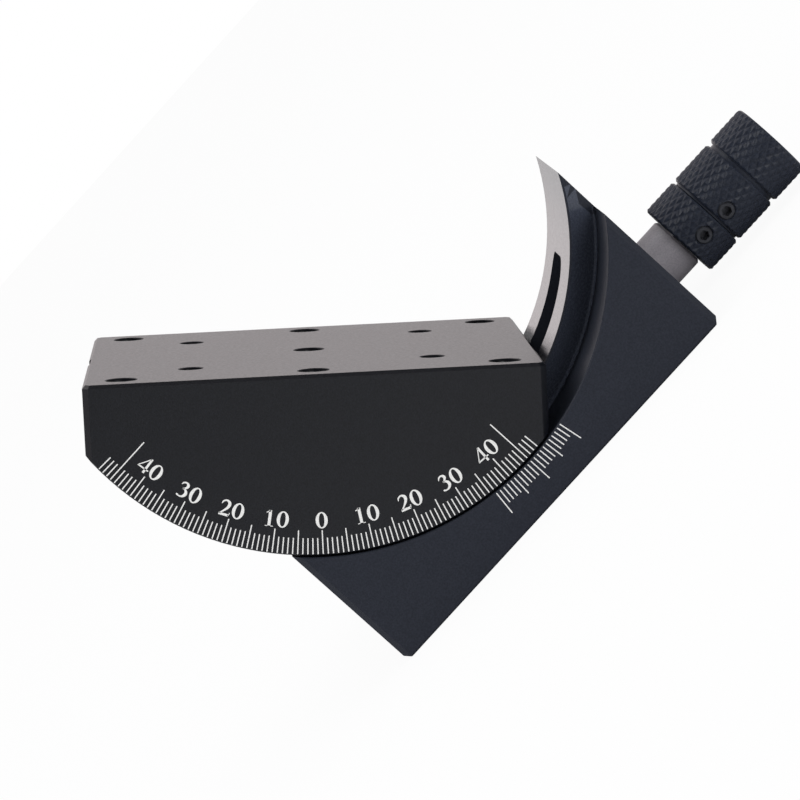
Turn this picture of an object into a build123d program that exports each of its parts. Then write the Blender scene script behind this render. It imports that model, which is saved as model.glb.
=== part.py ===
from build123d import *
import math
import os

# Millimetres and degrees. The base stands on z = 0, centred on x and y, with its scale face towards -Y
# and its knob at +X. The table tilts about a line parallel to Y, in the air above it. It is drawn level
# and then turned to the end of its travel, where the stage rests.

# The block that base and table are cut from
STAGE_LENGTH = 60.0
STAGE_WIDTH = 60.0
TABLE_DEPTH = 23.9
BASE_WEB = 6.1
END_CHAMFER = 0.8
TABLE_TOP_CHAMFER = 0.45
BASE_FOOT_CHAMFER = 0.3
ARC_EDGE_BREAK = 0.15
TRAVEL = 45.0

# The arc guide: a dovetail rib on the base in a channel of the table
SHOULDER_R = 38.6
RIB_HEIGHT = 3.95
RIB_SHARE = 0.6
RIB_LAND = 0.3
FLANK_ANGLE = 45.0
ROOT_FILLET = 0.3
LIP_LAND = 0.4
GIB_THICKNESS = 2.5
GIB_SCREW_ANGLES = (-38.0, -12.0, 12.0, 38.0)
GIB_DIMPLE = 0.8

# The worm and the toothed sector under the table
FULL_CIRCLE_TEETH = 120
ADDENDUM = 0.9
DEDENDUM = 1.15
PRESSURE_ANGLE = 20.0
BACKLASH = 0.16
WORM_PITCH_R = 3.95
WORM_LENGTH = 11.0
WORM_HUB_LENGTH = 5.0
WORM_HUB_R = 3.7
THREAD_OVERLAP = 0.2
HOB_RELIEF = 0.15
SECTOR_FACE = 6.0
SECTOR_FLANGE = 5.0
SECTOR_THICKNESS = 2.5
SECTOR_END_WALL = 1.1
SECTOR_COVER = 2.5
SECTOR_SCREW_FROM_END = 13.3

# The pocket in the rib that holds the worm
END_WALL = 8.0
POCKET_WIDTH = 13.4
POCKET_CORNER = 2.5
POCKET_CLEARANCE = 0.45

# The shaft, its bearings and what is threaded on it
SHAFT_R = 2.0
SHAFT_FLAT = 0.3
SHAFT_CHAMFER = 0.3
SLEEVE_R = 4.0
SLEEVE_PROUD = 4.3
SLEEVE_CHAMFER = 0.3
LEFT_BUSH_R = 3.0
BUSH_FLANGE_R = 3.9
BUSH_FLANGE = 0.8
END_PLUG_R = 4.0
END_PLUG_DEPTH = 3.0
END_PLUG_THICKNESS = 2.1
PLUG_SLOT_DEPTH = 0.8
PLUG_SLOT_WIDTH = 0.9
WASHER_R = 3.5
WASHER_THICKNESS = 0.5
SPACER_R = 3.0
SPRING_OUTER_R = 3.4
SPRING_SHEET = 0.35
SPRING_RISE = 0.3
SPRING_DISCS = 4

# The knurled ring and the knob outside the base
KNOB_R = 6.0
KNOB_NECK_R = 5.4
KNOB_CHAMFER = 0.3
RING_LENGTH = 5.35
KNOB_FIRST_NECK = 0.3
KNOB_INNER_BAND = 6.5
KNOB_SECOND_NECK = 0.6
KNOB_OUTER_BAND = 5.9
KNOB_END_WALL = 2.6
RING_SCREW_FROM_FACE = 2.8
KNOB_SCREW_FROM_NECK = 1.5
KNOB_TURN = 13.0

# Set screws and pins
GRUB_R = 1.25
GRUB_HEX = 1.3
LOCK_SCREW_R = 1.5
LOCK_SCREW_HEX = 1.5
GIB_SCREW_LENGTH = 6.0
WORM_SCREW_R = 1.0
WORM_SCREW_HEX = 0.9
HEX_DEPTH = 1.2
GRUB_SINK = 0.35
KNOB_SCREW_SINK = 0.1
SCREW_CHAMFER = 0.2
CSK_HEAD_R = 1.9
CSK_SHANK_R = 1.0
CSK_LENGTH = 5.0
CSK_SLOT_WIDTH = 0.5
CSK_SLOT_DEPTH = 0.5
STOP_PIN_R = 1.0
STOP_PIN_FROM_EDGE = 6.0
STOP_PIN_PROUD = 1.25
STOP_PIN_SEAT = 4.0
STOP_PIN_CHAMFER = 0.2
STOP_GROOVE_DEPTH = 1.2
STOP_GROOVE_SIDE = 0.2

# Tapped holes for fastening, modelled at the drilled size
LARGE_PITCH = 50.0
SMALL_PITCH = 32.0
LARGE_HOLE_R = 2.1
SMALL_HOLE_R = 1.65
LARGE_HOLE_DEPTH = 8.5
SMALL_HOLE_DEPTH = 6.0
HOLE_MOUTH = 0.1
DRILL_POINT = 59.0

# Clearances
SLIDE_GAP = 0.03
RUN_GAP = 0.03
SEAT_GAP = 0.01
FACE_GAP = 0.1
FREE_GAP = 0.3

# How far a cutting shape reaches past what it cuts
OVERSHOOT = 1.0

# Sizes that follow from those above
HALF_L = STAGE_LENGTH / 2
HALF_W = STAGE_WIDTH / 2
AXIS_HEIGHT = SHOULDER_R + BASE_WEB
AXIS_TO_TABLE = SHOULDER_R - TABLE_DEPTH
REST_TILT = TRAVEL
WORM_TURN = FULL_CIRCLE_TEETH * REST_TILT % 360
RIB_WIDTH = STAGE_WIDTH * RIB_SHARE
STOP_PIN_Y = STOP_PIN_FROM_EDGE - RIB_WIDTH / 2
TABLE_HEIGHT = AXIS_HEIGHT - AXIS_TO_TABLE
RIB_TOP_R = SHOULDER_R - RIB_HEIGHT
CHANNEL_R = RIB_TOP_R - FREE_GAP
TABLE_ARC_R = SHOULDER_R - FREE_GAP
GIB_INNER_R = CHANNEL_R + FACE_GAP
MODULE = CHANNEL_R / (FULL_CIRCLE_TEETH / 2 + ADDENDUM)
SECTOR_PITCH_R = MODULE * FULL_CIRCLE_TEETH / 2
TOOTH_PITCH = math.pi * MODULE
WORM_Z = AXIS_HEIGHT - SECTOR_PITCH_R - WORM_PITCH_R
WORM_TIP_R = WORM_PITCH_R + ADDENDUM * MODULE
WORM_ROOT_R = WORM_PITCH_R - DEDENDUM * MODULE
HOB_R = AXIS_HEIGHT - WORM_Z - WORM_TIP_R - HOB_RELIEF
POCKET_LENGTH = STAGE_LENGTH - 2 * END_WALL
LOCK_SCREW_X = (POCKET_LENGTH / 2 + HALF_L) / 2
WORM_SCREW_X = -WORM_LENGTH / 2 - WORM_HUB_LENGTH / 2
SPRING_STACK = SPRING_DISCS * (SPRING_SHEET + SPRING_RISE)
POCKET_FLOOR = WORM_Z - WORM_TIP_R - POCKET_CLEARANCE
POCKET_END = POCKET_LENGTH / 2
WORM_END = WORM_LENGTH / 2
HUB_END = -WORM_END - WORM_HUB_LENGTH
SLEEVE_IN = POCKET_END - FREE_GAP
SLEEVE_OUT = HALF_L + SLEEVE_PROUD
RIGHT_WASHER = SLEEVE_IN - FACE_GAP - WASHER_THICKNESS
LEFT_WASHER = -POCKET_END + BUSH_FLANGE + FACE_GAP
PLUG_SEAT = -HALF_L + END_PLUG_DEPTH
RING_START = SLEEVE_OUT + FACE_GAP
RING_END = RING_START + RING_LENGTH
KNOB_START = RING_END + FACE_GAP
BAND_START = KNOB_START + KNOB_FIRST_NECK
BAND_END = BAND_START + KNOB_INNER_BAND
OUTER_START = BAND_END + KNOB_SECOND_NECK
KNOB_END = OUTER_START + KNOB_OUTER_BAND
SHAFT_END = KNOB_END - KNOB_END_WALL
GIB_SCREW_R = (CHANNEL_R + TABLE_ARC_R) / 2
SECTOR_END_X = HALF_L - SECTOR_END_WALL
SECTOR_END_DEPTH = math.sqrt(max(CHANNEL_R**2 - SECTOR_END_X**2, 0))
SECTOR_TO_END = math.atan2(SECTOR_END_X, SECTOR_END_DEPTH)
SECTOR_TO_TOP = math.acos((AXIS_TO_TABLE + SECTOR_COVER) / (CHANNEL_R - SECTOR_THICKNESS))
SECTOR_REACH = math.degrees(min(SECTOR_TO_END, SECTOR_TO_TOP))
SECTOR_SCREW_STEP = (SECTOR_REACH - SECTOR_SCREW_FROM_END) / 2
SECTOR_SCREW_ANGLES = [step * SECTOR_SCREW_STEP for step in (-2, -1, 0, 1, 2)]

TILT_AXIS = Axis((0, 0, AXIS_HEIGHT), (0, 1, 0))
WORM_AXIS = Axis((0, 0, WORM_Z), (1, 0, 0))
UPWARD = (Align.CENTER, Align.CENTER, Align.MIN)


def tan_deg(angle):
    """Tangent of an angle in degrees."""
    return math.tan(math.radians(angle))


def flank_y(radius, offset=0.0):
    """Half-width of the rib's flank at a radius, moved outwards by an offset along its normal."""
    inward = (radius - RIB_TOP_R - RIB_LAND) * tan_deg(FLANK_ANGLE)
    return RIB_WIDTH / 2 - inward + offset / math.cos(math.radians(FLANK_ANGLE))


def group(pieces):
    """Like pieces as one set of separate solids."""
    return Compound([solid for piece in pieces for solid in piece.solids()])


def arc_section(points):
    """A face from (y, radius) points, in the plane that holds the tilt axis and the vertical."""
    return make_face(Polyline(*[(0, y, AXIS_HEIGHT - r) for y, r in points], close=True))


def arc_solid(points, half_angle=180.0):
    """The section swept about the tilt axis, half_angle each way from straight down."""
    start = arc_section(points).rotate(TILT_AXIS, -half_angle)
    return revolve(start, TILT_AXIS, revolution_arc=2 * half_angle)


def turned(points):
    """A piece turned about the worm axis from (x, radius) points."""
    outline = Polyline(*[(x, 0, WORM_Z + r) for x, r in points], close=True)
    return revolve(make_face(outline), WORM_AXIS, revolution_arc=360)


def ring(x_start, x_end, outer, inner):
    """A plain ring on the worm axis."""
    return turned([(x_start, inner), (x_start, outer), (x_end, outer), (x_end, inner)])


def bar(x_start, x_end, radius):
    """A plain bar on the worm axis."""
    return turned([(x_start, 0), (x_start, radius), (x_end, radius), (x_end, 0)])


def band(x_start, x_end, inner):
    """(x, radius) points of a grip band with a chamfer at each end, without its bore."""
    full = KNOB_R - KNOB_CHAMFER
    return [
        (x_start, inner),
        (x_start, full),
        (x_start + KNOB_CHAMFER, KNOB_R),
        (x_end - KNOB_CHAMFER, KNOB_R),
        (x_end, full),
    ]


def grub_screw(radius, length, across_flats):
    """A headless screw along +Z with its tip at the origin and a hex socket in its far end."""
    body = Cylinder(radius, length, align=UPWARD)
    body = chamfer(body.edges().filter_by(GeomType.CIRCLE), SCREW_CHAMFER)
    socket = extrude(RegularPolygon(across_flats / math.sqrt(3), 6), HEX_DEPTH)
    return body - Pos(0, 0, length - HEX_DEPTH) * socket


def drilled_hole(radius, depth):
    """A blind tapped hole that opens upwards at the origin, with its drill point and a broken edge."""
    point = radius / tan_deg(DRILL_POINT)
    outline = [
        (0, -depth - point),
        (radius, -depth),
        (radius, -HOLE_MOUTH),
        (radius + 2 * HOLE_MOUTH, HOLE_MOUTH),
        (0, HOLE_MOUTH),
    ]
    face = make_face(Polyline(*[(r, 0, z) for r, z in outline], close=True))
    return revolve(face, Axis.Z, revolution_arc=360)


def corner_places(pitch):
    """The four corners of a square pattern."""
    return [(sx * pitch / 2, sy * pitch / 2) for sx in (-1, 1) for sy in (-1, 1)]


def base_void():
    """What the arc guide takes out of the base: the trough, with the dovetail rib left standing."""
    reach = HALF_W + OVERSHOOT
    half = RIB_WIDTH / 2
    points = [
        (-reach, 0),
        (-reach, SHOULDER_R),
        (-flank_y(SHOULDER_R), SHOULDER_R),
        (-half, RIB_TOP_R + RIB_LAND),
        (-half, RIB_TOP_R),
        (half, RIB_TOP_R),
        (half, RIB_TOP_R + RIB_LAND),
        (flank_y(SHOULDER_R), SHOULDER_R),
        (reach, SHOULDER_R),
        (reach, 0),
    ]
    section = arc_section(points)
    shoulder_z = AXIS_HEIGHT - SHOULDER_R
    roots = [v for v in section.vertices() if abs(v.Z - shoulder_z) < 0.01 and abs(v.Y) < half]
    section = fillet(roots, ROOT_FILLET)
    return revolve(section, TILT_AXIS, revolution_arc=360)


def break_arc_edges(solid, radius):
    """The long curved edges of the front and back faces, with their sharpness taken off."""
    edges = [
        e
        for e in solid.edges().filter_by(GeomType.CIRCLE)
        if abs(e.radius - radius) < 0.01 and abs(abs(e.center().Y) - HALF_W) < 0.01
    ]
    return chamfer(edges, ARC_EDGE_BREAK)


def base_block():
    """The base: a block with the concave arc, the rib, the worm's pocket and the bores for its shaft."""
    block = Box(STAGE_LENGTH, STAGE_WIDTH, AXIS_HEIGHT, align=UPWARD)
    block = chamfer(block.edges().filter_by(Axis.Z), END_CHAMFER)
    foot = block.faces().sort_by(Axis.Z)[0].edges()
    block = chamfer(foot.filter_by(Axis.Y), END_CHAMFER)
    foot = block.faces().sort_by(Axis.Z)[0].edges()
    block = chamfer(foot.filter_by(Axis.X), BASE_FOOT_CHAMFER)
    block = break_arc_edges(block - base_void(), SHOULDER_R)
    pocket = RectangleRounded(POCKET_LENGTH, POCKET_WIDTH, POCKET_CORNER)
    block -= Pos(0, 0, POCKET_FLOOR) * extrude(pocket, AXIS_HEIGHT)
    block -= bar(POCKET_END - OVERSHOOT, HALF_L + OVERSHOOT, SLEEVE_R + SEAT_GAP)
    block -= bar(PLUG_SEAT, -POCKET_END + OVERSHOOT, LEFT_BUSH_R + SEAT_GAP)
    block -= bar(-HALF_L - OVERSHOOT, PLUG_SEAT, END_PLUG_R + SEAT_GAP)
    block -= Pos(LOCK_SCREW_X, 0, 0) * Cylinder(LOCK_SCREW_R + SEAT_GAP, WORM_Z, align=UPWARD)
    pin_foot = AXIS_HEIGHT - RIB_TOP_R - STOP_PIN_SEAT
    pin_hole = Cylinder(STOP_PIN_R + SEAT_GAP, 2 * STOP_PIN_SEAT, align=UPWARD)
    block -= Pos(0, STOP_PIN_Y, pin_foot) * pin_hole
    for x, y in corner_places(LARGE_PITCH):
        block -= Location((x, y, 0), (180, 0, 0)) * drilled_hole(LARGE_HOLE_R, LARGE_HOLE_DEPTH)
    for x, y in corner_places(SMALL_PITCH):
        block -= Location((x, y, 0), (180, 0, 0)) * drilled_hole(SMALL_HOLE_R, SMALL_HOLE_DEPTH)
    return block


def stop_pin():
    """A dowel in the rib's top that the table's groove ends against."""
    foot = AXIS_HEIGHT - RIB_TOP_R - STOP_PIN_SEAT
    pin = Cylinder(STOP_PIN_R, STOP_PIN_SEAT + STOP_PIN_PROUD, align=UPWARD)
    pin = chamfer(pin.edges().filter_by(GeomType.CIRCLE), STOP_PIN_CHAMFER)
    return Pos(0, STOP_PIN_Y, foot) * pin


def sleeve_bush():
    """The bearing sleeve that stands out of the base between it and the knurled ring."""
    bore = SHAFT_R + RUN_GAP
    return turned([
        (SLEEVE_IN, bore),
        (SLEEVE_IN, SLEEVE_R),
        (SLEEVE_OUT - SLEEVE_CHAMFER, SLEEVE_R),
        (SLEEVE_OUT, SLEEVE_R - SLEEVE_CHAMFER),
        (SLEEVE_OUT, bore),
    ])


def sleeve_lock_screw():
    """The set screw under the base that holds the sleeve."""
    length = WORM_Z - SLEEVE_R - GRUB_SINK
    screw = grub_screw(LOCK_SCREW_R, length, LOCK_SCREW_HEX)
    return Location((LOCK_SCREW_X, 0, WORM_Z - SLEEVE_R), (180, 0, 0)) * screw


def left_bush():
    """The flanged bush that carries the far end of the shaft."""
    bore = SHAFT_R + RUN_GAP
    flange_end = -POCKET_END + BUSH_FLANGE
    return turned([
        (PLUG_SEAT, bore),
        (PLUG_SEAT, LEFT_BUSH_R),
        (-POCKET_END, LEFT_BUSH_R),
        (-POCKET_END, BUSH_FLANGE_R),
        (flange_end, BUSH_FLANGE_R),
        (flange_end, bore),
    ])


def end_plug():
    """The slotted plug that closes the shaft's bore in the left end of the base."""
    outer_end = PLUG_SEAT - END_PLUG_THICKNESS
    plug = bar(outer_end, PLUG_SEAT, END_PLUG_R)
    slot = Box(2 * PLUG_SLOT_DEPTH, 2 * END_PLUG_R + OVERSHOOT, PLUG_SLOT_WIDTH)
    return plug - Pos(outer_end, 0, WORM_Z) * slot


def knob_turned(piece):
    """A piece on the worm axis, turned from straight in front to where the knob stands at rest."""
    return piece.rotate(WORM_AXIS, KNOB_TURN)


def worm_shaft():
    """The shaft from the left bush to the knob, flatted where the ring and knob screws bite."""
    left = PLUG_SEAT + FREE_GAP
    shaft = turned([
        (left, 0),
        (left, SHAFT_R - SHAFT_CHAMFER),
        (left + SHAFT_CHAMFER, SHAFT_R),
        (SHAFT_END, SHAFT_R),
        (SHAFT_END, 0),
    ])
    flat_length = SHAFT_END - RING_START
    flat = Box(flat_length, SHAFT_R, 2 * SHAFT_R, align=(Align.MIN, Align.MAX, Align.CENTER))
    return shaft - knob_turned(Pos(RING_START, -SHAFT_R + SHAFT_FLAT, WORM_Z) * flat)


def worm_turned(piece):
    """A piece on the worm axis, turned as far as the sector drives it from level to rest."""
    return piece.rotate(WORM_AXIS, WORM_TURN)


def worm():
    """The worm: a right-hand thread whose crest meets the sector straight above x = 0 at rest."""
    thickness = TOOTH_PITCH / 2 - BACKLASH / 2
    slope = tan_deg(PRESSURE_ANGLE)
    inside = WORM_ROOT_R - THREAD_OVERLAP
    foot = thickness / 2 + (WORM_PITCH_R - inside) * slope
    crest = thickness / 2 - (WORM_TIP_R - WORM_PITCH_R) * slope
    outline = [(inside, -foot), (WORM_TIP_R, -crest), (WORM_TIP_R, crest), (inside, foot)]
    tooth = make_face(Polyline(*[(r, 0, x) for r, x in outline], close=True))
    turns_each_way = math.ceil(WORM_END / TOOTH_PITCH) + 0.5
    path = Helix(TOOTH_PITCH, 2 * turns_each_way * TOOTH_PITCH, WORM_PITCH_R)
    thread = sweep(tooth, path=path, is_frenet=True)
    thread = Location((-turns_each_way * TOOTH_PITCH, 0, WORM_Z), (0, 90, 0)) * thread
    body = thread & bar(-WORM_END, WORM_END, WORM_TIP_R + OVERSHOOT)
    body = body + bar(-WORM_END, WORM_END, WORM_ROOT_R) + bar(HUB_END, -WORM_END, WORM_HUB_R)
    body -= bar(HUB_END - OVERSHOOT, WORM_END + OVERSHOOT, SHAFT_R + SEAT_GAP)
    screw_hole = Cylinder(WORM_SCREW_R + SEAT_GAP, 2 * WORM_HUB_R, align=UPWARD)
    return worm_turned(body - Pos(WORM_SCREW_X, 0, WORM_Z) * screw_hole)


def worm_set_screw():
    """The set screw in the worm's hub."""
    length = WORM_HUB_R - SHAFT_R - FACE_GAP
    body = Cylinder(WORM_SCREW_R, length, align=UPWARD)
    socket = extrude(RegularPolygon(WORM_SCREW_HEX / math.sqrt(3), 6), length / 2)
    screw = body - Pos(0, 0, length / 2) * socket
    return worm_turned(Pos(WORM_SCREW_X, 0, WORM_Z + SHAFT_R) * screw)


def spacer_tube():
    """The tubes between the worm and the right thrust washer, and between the left one and the springs."""
    bore = SHAFT_R + SEAT_GAP
    right = ring(WORM_END, RIGHT_WASHER, SPACER_R, bore)
    left = ring(LEFT_WASHER + WASHER_THICKNESS, HUB_END - SPRING_STACK, SPACER_R, bore)
    return group([left, right])


def thrust_washers():
    """One washer against the left bush and one against the sleeve."""
    bore = SHAFT_R + SEAT_GAP
    left = ring(LEFT_WASHER, LEFT_WASHER + WASHER_THICKNESS, WASHER_R, bore)
    right = ring(RIGHT_WASHER, RIGHT_WASHER + WASHER_THICKNESS, WASHER_R, bore)
    return group([left, right])


def preload_spring():
    """Disc springs, stacked face to back in turn, that push the worm towards the sleeve."""
    bore = SHAFT_R + SEAT_GAP
    pitch = SPRING_SHEET + SPRING_RISE
    discs = []
    for k in range(SPRING_DISCS):
        start = HUB_END - SPRING_STACK + k * pitch
        inner_lift = SPRING_RISE if k % 2 else 0.0
        outer_lift = SPRING_RISE - inner_lift
        discs.append(turned([
            (start + inner_lift, bore),
            (start + outer_lift, SPRING_OUTER_R),
            (start + outer_lift + SPRING_SHEET, SPRING_OUTER_R),
            (start + inner_lift + SPRING_SHEET, bore),
        ]))
    return group(discs)


def front_screw_hole(x, radius):
    """A hole for a set screw that comes in from the front, square to the worm axis."""
    hole = Cylinder(radius, KNOB_R + OVERSHOOT, align=UPWARD)
    return knob_turned(Location((x, 0, WORM_Z), (90, 0, 0)) * hole)


def front_screw(x):
    """A set screw from the front, with its tip on the shaft's flat."""
    tip = SHAFT_R - SHAFT_FLAT
    length = KNOB_R - KNOB_SCREW_SINK - tip
    return knob_turned(Location((x, -tip, WORM_Z), (90, 0, 0)) * grub_screw(GRUB_R, length, GRUB_HEX))


def lock_ring():
    """The knurled ring next to the sleeve."""
    bore = SHAFT_R + SEAT_GAP
    solid = turned(band(RING_START, RING_END, bore) + [(RING_END, bore)])
    return solid - front_screw_hole(RING_START + RING_SCREW_FROM_FACE, GRUB_R + SEAT_GAP)


def knob():
    """The knurled knob: two grip bands with a neck before and between them, bored blind."""
    points = [(KNOB_START, 0), (KNOB_START, KNOB_NECK_R)]
    points += band(BAND_START, BAND_END, KNOB_NECK_R)
    points += [(BAND_END, KNOB_NECK_R)]
    points += band(OUTER_START, KNOB_END, KNOB_NECK_R)
    points += [(KNOB_END, 0)]
    solid = turned(points) - bar(KNOB_START - OVERSHOOT, SHAFT_END + FREE_GAP, SHAFT_R + SEAT_GAP)
    return solid - front_screw_hole(BAND_START + KNOB_SCREW_FROM_NECK, GRUB_R + SEAT_GAP)


def table_channel():
    """What the arc guide takes out of the table, with room for the gib at the back."""
    wall = RIB_WIDTH / 2 + FREE_GAP
    lip_r = TABLE_ARC_R - LIP_LAND
    reach_r = TABLE_ARC_R + OVERSHOOT
    flank_shift = SLIDE_GAP / math.cos(math.radians(FLANK_ANGLE)) - FREE_GAP
    knee_r = RIB_TOP_R + RIB_LAND + flank_shift / tan_deg(FLANK_ANGLE)
    back = SLIDE_GAP + GIB_THICKNESS + SEAT_GAP
    points = [
        (-wall, CHANNEL_R),
        (-wall, knee_r),
        (-flank_y(lip_r, SLIDE_GAP), lip_r),
        (-flank_y(lip_r, SLIDE_GAP), reach_r),
        (flank_y(reach_r, back), reach_r),
        (flank_y(CHANNEL_R, back), CHANNEL_R),
    ]
    return arc_solid(points)


def stop_groove():
    """The groove in the channel's ceiling whose ends meet the stop pin."""
    half = STOP_PIN_R + STOP_GROOVE_SIDE
    points = [
        (STOP_PIN_Y - half, CHANNEL_R - STOP_GROOVE_DEPTH),
        (STOP_PIN_Y + half, CHANNEL_R - STOP_GROOVE_DEPTH),
        (STOP_PIN_Y + half, CHANNEL_R + OVERSHOOT),
        (STOP_PIN_Y - half, CHANNEL_R + OVERSHOOT),
    ]
    groove_r = CHANNEL_R - STOP_GROOVE_DEPTH
    return arc_solid(points, TRAVEL + math.degrees((STOP_PIN_R + FACE_GAP) / groove_r))


def gib_screw_place(angle):
    """The mouth of a gib screw's hole in the back face, with the hole along -Z of the place."""
    x = GIB_SCREW_R * math.sin(math.radians(angle))
    z = AXIS_HEIGHT - GIB_SCREW_R * math.cos(math.radians(angle))
    return Location((x, HALF_W, z), (-90, 0, 0))


def gib_back_y():
    """Where the gib's back stands at the radius of its screws."""
    return flank_y(GIB_SCREW_R, SLIDE_GAP + GIB_THICKNESS)


def sector_strip(clearance=0.0):
    """The blank of the toothed sector, from (y, radius) sizes, grown by a clearance for its seat."""
    points = [
        (-SECTOR_FACE / 2 - clearance, CHANNEL_R - SECTOR_THICKNESS - clearance),
        (SECTOR_FACE / 2 + SECTOR_FLANGE + clearance, CHANNEL_R - SECTOR_THICKNESS - clearance),
        (SECTOR_FACE / 2 + SECTOR_FLANGE + clearance, CHANNEL_R),
        (-SECTOR_FACE / 2 - clearance, CHANNEL_R),
    ]
    return arc_solid(points, SECTOR_REACH + math.degrees(clearance / CHANNEL_R))


def hob_relief():
    """The shallow groove that clears the worm's crest past the ends of the sector, out to both edges."""
    half = SECTOR_FACE / 2
    return arc_solid([(-half, HOB_R), (half, HOB_R), (half, CHANNEL_R), (-half, CHANNEL_R)])


def sector_screw_solid(grow):
    """A countersunk screw along +Z with its head flush at the origin, grown for its hole."""
    shank = CSK_SHANK_R + grow
    head = CSK_HEAD_R + grow
    outline = [(0, 0), (head, 0), (shank, head - shank), (shank, CSK_LENGTH + grow), (0, CSK_LENGTH + grow)]
    face = make_face(Polyline(*[(r, 0, z) for r, z in outline], close=True))
    return revolve(face, Axis.Z, revolution_arc=360)


def sector_screw_places():
    """The mouths of the sector's screws in its flange, pointing towards the tilt axis."""
    y = SECTOR_FACE / 2 + SECTOR_FLANGE / 2
    foot = Location((0, y, AXIS_HEIGHT - CHANNEL_R))
    return [(foot, angle) for angle in SECTOR_SCREW_ANGLES]


def table():
    """The table: a plate that is thick in the middle, with a convex arc below and the channel in it."""
    block = Box(STAGE_LENGTH, STAGE_WIDTH, TABLE_HEIGHT, align=UPWARD)
    block = chamfer(block.edges().filter_by(Axis.Z), END_CHAMFER)
    block = chamfer(block.faces().sort_by(Axis.Z)[-1].edges(), TABLE_TOP_CHAMFER)
    drum = Location((0, 0, AXIS_HEIGHT), (90, 0, 0)) * Cylinder(TABLE_ARC_R, 2 * STAGE_WIDTH)
    block = break_arc_edges(block & drum, TABLE_ARC_R)
    block -= table_channel()
    block -= stop_groove()
    block -= sector_strip(SEAT_GAP)
    block -= hob_relief()
    for foot, angle in sector_screw_places():
        block -= (foot * sector_screw_solid(SEAT_GAP)).rotate(TILT_AXIS, angle)
    depth = HALF_W - gib_back_y() + 2 * LOCK_SCREW_R
    for angle in GIB_SCREW_ANGLES:
        hole = Cylinder(LOCK_SCREW_R + SEAT_GAP, depth, align=(Align.CENTER, Align.CENTER, Align.MAX))
        block -= gib_screw_place(angle) * hole
    large = corner_places(LARGE_PITCH) + [(0, -LARGE_PITCH / 2), (0, LARGE_PITCH / 2), (0, 0)]
    for x, y in large:
        block -= Pos(x, y, TABLE_HEIGHT) * drilled_hole(LARGE_HOLE_R, LARGE_HOLE_DEPTH)
    for x, y in corner_places(SMALL_PITCH):
        block -= Pos(x, y, TABLE_HEIGHT) * drilled_hole(SMALL_HOLE_R, SMALL_HOLE_DEPTH)
    return block


def gib():
    """The curved strip between the rib's back flank and the table, with a dimple for each screw."""
    front = SLIDE_GAP
    back = SLIDE_GAP + GIB_THICKNESS
    lip_r = TABLE_ARC_R - LIP_LAND
    points = [
        (flank_y(GIB_INNER_R, front), GIB_INNER_R),
        (flank_y(lip_r, front), lip_r),
        (flank_y(lip_r, front), TABLE_ARC_R),
        (flank_y(TABLE_ARC_R, back), TABLE_ARC_R),
        (flank_y(GIB_INNER_R, back), GIB_INNER_R),
    ]
    block = Box(STAGE_LENGTH - 2 * FREE_GAP, STAGE_WIDTH, AXIS_HEIGHT, align=UPWARD)
    strip = arc_solid(points) & block
    reach = HALF_W - gib_back_y() + GIB_DIMPLE
    for angle in GIB_SCREW_ANGLES:
        dimple = Cylinder(LOCK_SCREW_R + SEAT_GAP, reach, align=(Align.CENTER, Align.CENTER, Align.MAX))
        strip -= gib_screw_place(angle) * dimple
    return strip


def gib_screws():
    """The set screws that press the gib against the rib."""
    depth = HALF_W - gib_back_y() + GIB_DIMPLE
    screw = grub_screw(LOCK_SCREW_R, GIB_SCREW_LENGTH, LOCK_SCREW_HEX)
    return group([gib_screw_place(a) * Pos(0, 0, -depth) * screw for a in GIB_SCREW_ANGLES])


def worm_sector():
    """The toothed sector: a strip let into the channel's ceiling, gashed to the worm's lead angle."""
    width = TOOTH_PITCH / 2 + BACKLASH / 2
    slope = tan_deg(PRESSURE_ANGLE)
    depth = DEDENDUM * MODULE
    height = CHANNEL_R + FACE_GAP - SECTOR_PITCH_R
    outline = [
        (-width / 2 + depth * slope, SECTOR_PITCH_R - depth),
        (width / 2 - depth * slope, SECTOR_PITCH_R - depth),
        (width / 2 + height * slope, SECTOR_PITCH_R + height),
        (-width / 2 - height * slope, SECTOR_PITCH_R + height),
    ]
    lead = TOOTH_PITCH / (2 * math.pi * WORM_PITCH_R)
    start_y = -SECTOR_FACE / 2 - OVERSHOOT
    run = SECTOR_FACE / 2 - start_y
    shift = -start_y * lead
    points = [(x + shift, start_y, AXIS_HEIGHT - r) for x, r in outline]
    slant = Vector(-lead, 1, 0)
    gash = extrude(make_face(Polyline(*points, close=True)), run * slant.length, dir=slant)
    step = 360.0 / FULL_CIRCLE_TEETH
    last = math.ceil(SECTOR_REACH / step)
    strip = sector_strip() - [gash.rotate(TILT_AXIS, k * step) for k in range(-last, last + 1)]
    for foot, angle in sector_screw_places():
        strip -= (foot * sector_screw_solid(SEAT_GAP)).rotate(TILT_AXIS, angle)
    return strip


def sector_screws():
    """The countersunk screws that hold the sector, each with a cross slot."""
    screw = sector_screw_solid(0.0) - Box(2 * CSK_HEAD_R, CSK_SLOT_WIDTH, 2 * CSK_SLOT_DEPTH)
    return group([(foot * screw).rotate(TILT_AXIS, angle) for foot, angle in sector_screw_places()])


def at_rest(piece):
    """A piece of the table, turned from level to the tilt that the stage rests at."""
    return group([solid.rotate(TILT_AXIS, REST_TILT) for solid in piece.solids()])


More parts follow.
